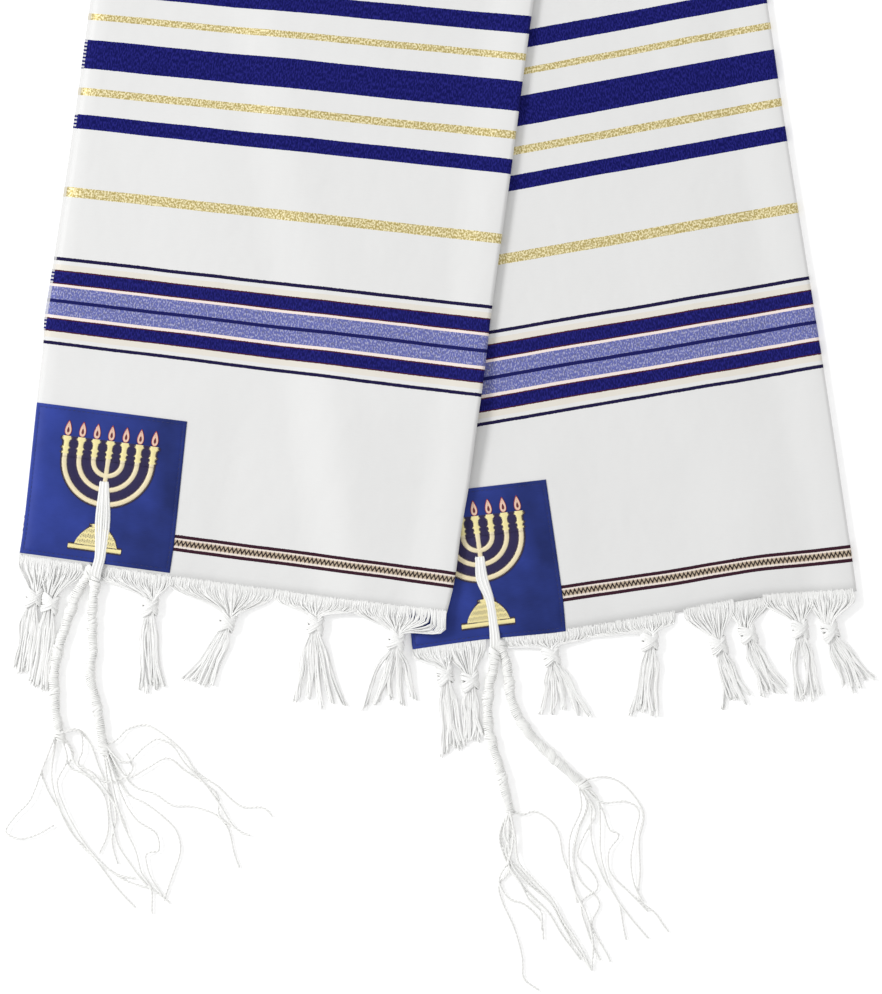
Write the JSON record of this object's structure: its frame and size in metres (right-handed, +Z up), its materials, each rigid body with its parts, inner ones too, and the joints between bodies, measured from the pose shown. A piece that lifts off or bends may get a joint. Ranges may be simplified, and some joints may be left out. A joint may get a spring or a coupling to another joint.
{
  "type": "tallit prayer shawl",
  "caption": "Tallit prayer shawl laid flat, doubled lengthwise and folded at the neck, with blue and gold woven stripes, satin corner pieces, knotted fringe and corner tassels.",
  "frame": {"origin": "middle of the whole laid-out outline, on the surface that it lies on", "axes": "+Y from the fringed hems to the neck fold, +Z up, +X towards the lower arm's crease"},
  "size_m": [0.5531, 1.1394, 0.0144],
  "materials": {
    "cloth": "fine off-white woven cloth with royal blue, gold and pale blue woven stripes",
    "satin": "royal blue satin with gold woven figure",
    "thread": "soft off-white cotton yarn"
  },
  "bodies": {
    "root": {"shawl_upper_arm": "cloth", "shawl_lower_arm": "cloth", "corner_upper_front": "satin", "corner_upper_back": "satin", "corner_lower_front": "satin", "corner_lower_back": "satin", "fringe_upper_1": "thread", "fringe_upper_2": "thread", "fringe_upper_3": "thread", "fringe_upper_4": "thread", "fringe_upper_5": "thread", "fringe_upper_6": "thread", "fringe_lower_1": "thread", "fringe_lower_2": "thread", "fringe_lower_3": "thread", "fringe_lower_4": "thread", "fringe_lower_5": "thread", "fringe_lower_6": "thread", "fringe_lower_7": "thread", "fringe_lower_8": "thread", "tzitzit_upper_front": "thread", "tzitzit_upper_back": "thread", "tzitzit_lower_front": "thread", "tzitzit_lower_back": "thread"}
  },
  "joints": []
}
